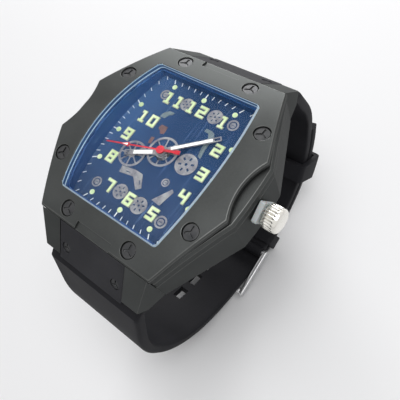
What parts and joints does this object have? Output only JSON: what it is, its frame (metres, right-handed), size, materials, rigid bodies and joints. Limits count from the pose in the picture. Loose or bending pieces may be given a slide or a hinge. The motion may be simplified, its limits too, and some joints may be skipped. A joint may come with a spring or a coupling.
{
  "type": "wristwatch",
  "caption": "Tonneau wristwatch with a layered screwed case, openwork dial, pulled crown with transit clip, and a rubber strap closed on its pin buckle.",
  "frame": {"origin": "centre of the case back's outer face", "axes": "+Z out of the dial, +Y to 12 o'clock, +X to 3 o'clock and the crown"},
  "size_m": [0.0493, 0.0689, 0.0611],
  "materials": {
    "case_black": "matte",
    "screw_steel": "satin",
    "back_steel": "satin",
    "crystal": "polished",
    "seal": "matte",
    "dial_blue": "satin",
    "chapter_blue": "gloss",
    "print_white": "matte",
    "numeral_grey": "satin",
    "lume_green": "matte",
    "openwork_grey": "satin",
    "hand_dark": "satin",
    "lume_white": "matte",
    "seconds_red": "satin",
    "crown_chrome": "polished",
    "clip_plastic": "matte",
    "strap_rubber": "matte",
    "buckle_steel": "satin",
    "movement_brass": "satin",
    "movement_steel": "satin",
    "movement_plastic": "matte",
    "board_green": "satin",
    "coil_copper": "satin",
    "cell_steel": "polished"
  },
  "bodies": {
    "case": {"bezel": "case_black", "bezel_screws": "screw_steel", "upper_case_ring": "case_black", "crystal": "crystal", "crystal_gasket": "seal", "case_band": "case_black", "case_back": "back_steel", "case_back_gasket": "seal", "case_back_screws": "screw_steel", "end_plate_12": "case_black", "end_plate_6": "case_black", "end_plate_screws": "screw_steel", "chapter_ring": "chapter_blue", "dial": "dial_blue", "dial_track": "print_white", "dial_numerals": "numeral_grey", "dial_lume": "lume_green", "dial_wheels": "openwork_grey", "crown_tube": "movement_steel", "yoke": "movement_steel", "main_plate": "movement_brass", "train_bridge": "movement_brass", "circuit_board": "board_green", "battery": "cell_steel", "battery_clamp": "movement_steel", "movement_screws": "movement_steel", "coil_winding": "coil_copper", "coil_core": "movement_steel", "stator": "movement_steel", "movement_holder": "movement_plastic", "strap_buckle_half": "strap_rubber", "strap_tail_half": "strap_rubber", "spring_bar": "movement_steel", "fixed_keeper": "strap_rubber"},
    "seconds": {"seconds_hand": "seconds_red", "seconds_hand_lume": "lume_white", "fourth_wheel": "movement_brass"},
    "third": {"third_wheel": "movement_brass"},
    "centre": {"centre_wheel": "movement_brass"},
    "fifth": {"fifth_wheel": "movement_plastic"},
    "motor_rotor": {"rotor": "movement_steel"},
    "minutes": {"minute_hand": "hand_dark", "minute_hand_lume": "lume_white", "cannon_pinion": "movement_steel"},
    "hours": {"hour_hand": "hand_dark", "hour_hand_lume": "lume_white", "hour_wheel": "movement_brass"},
    "minute_work": {"minute_wheel": "movement_brass"},
    "setting": {"setting_wheel": "movement_brass"},
    "sliding": {"sliding_pinion": "movement_steel"},
    "winding_stem": {"stem": "movement_steel", "crown": "crown_chrome", "crown_gasket": "seal"},
    "lever": {"setting_lever": "movement_steel"},
    "clip": {"crown_clip": "clip_plastic"},
    "keeper": {"free_keeper": "strap_rubber"},
    "buckle": {"buckle_frame": "buckle_steel"},
    "tongue": {"buckle_tongue": "buckle_steel"}
  },
  "joints": [
    {"name": "seconds_turn", "type": "hinge", "parent": "case", "child": "seconds", "pos_m": [0, 0, 0.007], "axis": [0, 0, -1], "continuous": true},
    {"name": "third_turn", "type": "hinge", "parent": "case", "child": "third", "pos_m": [-0.00419, -0.00074, 0.004], "axis": [0, 0, -1], "continuous": true},
    {"name": "centre_turn", "type": "hinge", "parent": "case", "child": "centre", "pos_m": [0, 0, 0.0045], "axis": [0, 0, -1], "continuous": true},
    {"name": "fifth_turn", "type": "hinge", "parent": "case", "child": "fifth", "pos_m": [0.00109, -0.00406, 0.0035], "axis": [0, 0, -1], "continuous": true},
    {"name": "rotor_turn", "type": "hinge", "parent": "case", "child": "motor_rotor", "pos_m": [0.00217, -0.00593, 0.0035], "axis": [0, 0, -1], "continuous": true},
    {"name": "crown_turn", "type": "hinge", "parent": "case", "child": "sliding", "pos_m": [0.0072, 0, 0.006], "axis": [1, 0, 0], "continuous": true},
    {"name": "stem_slide", "type": "slide", "parent": "sliding", "child": "winding_stem", "axis": [1, 0, 0], "range_m": [-0.0002, 0]},
    {"name": "setting_wheel_turn", "type": "hinge", "parent": "case", "child": "setting", "pos_m": [0.00578, 0, 0.007], "axis": [0, 0, -1], "continuous": true},
    {"name": "minute_wheel_turn", "type": "hinge", "parent": "case", "child": "minute_work", "pos_m": [0.00259, -0.0025, 0.007], "axis": [0, 0, -1], "continuous": true},
    {"name": "minute_hand_turn", "type": "hinge", "parent": "case", "child": "minutes", "pos_m": [0, 0, 0.007], "axis": [0, 0, -1], "continuous": true},
    {"name": "hour_hand_turn", "type": "hinge", "parent": "case", "child": "hours", "pos_m": [0, 0, 0.007], "axis": [0, 0, -1], "continuous": true},
    {"name": "setting_lever_swing", "type": "hinge", "parent": "case", "child": "lever", "pos_m": [0.0087, 0.003, 0.00696], "axis": [0, 0, 1], "range_deg": [-7, 0.5]},
    {"name": "crown_clip_slide", "type": "slide", "parent": "case", "child": "clip", "axis": [0, -0.4226, 0.9063], "range_m": [0, 0.008]},
    {"name": "free_keeper_travel", "type": "hinge", "parent": "case", "child": "keeper", "pos_m": [0, 0.0074, -0.01702], "axis": [1, 0, 0], "range_deg": [-14, 15]},
    {"name": "buckle_swing", "type": "hinge", "parent": "case", "child": "buckle", "pos_m": [0, 0.00376, -0.04322], "axis": [1, 0, 0], "range_deg": [0, 6]},
    {"name": "tongue_swing", "type": "hinge", "parent": "buckle", "child": "tongue", "pos_m": [0, 0.00376, -0.04322], "axis": [1, 0, 0], "range_deg": [0, 5]}
  ],
  "couplings": [
    {"joint": "third_turn", "follows": "seconds_turn", "ratio": -0.13333},
    {"joint": "centre_turn", "follows": "seconds_turn", "ratio": 0.016667},
    {"joint": "fifth_turn", "follows": "seconds_turn", "ratio": -6},
    {"joint": "rotor_turn", "follows": "seconds_turn", "ratio": 30},
    {"joint": "setting_wheel_turn", "follows": "crown_turn", "ratio": 0.66667},
    {"joint": "minute_wheel_turn", "follows": "crown_turn", "ratio": -0.33333},
    {"joint": "minute_hand_turn", "follows": "crown_turn", "ratio": 1},
    {"joint": "hour_hand_turn", "follows": "crown_turn", "ratio": 0.083333},
    {"joint": "setting_lever_swing", "follows": "stem_slide", "rad_per_m": 333.33}
  ]
}
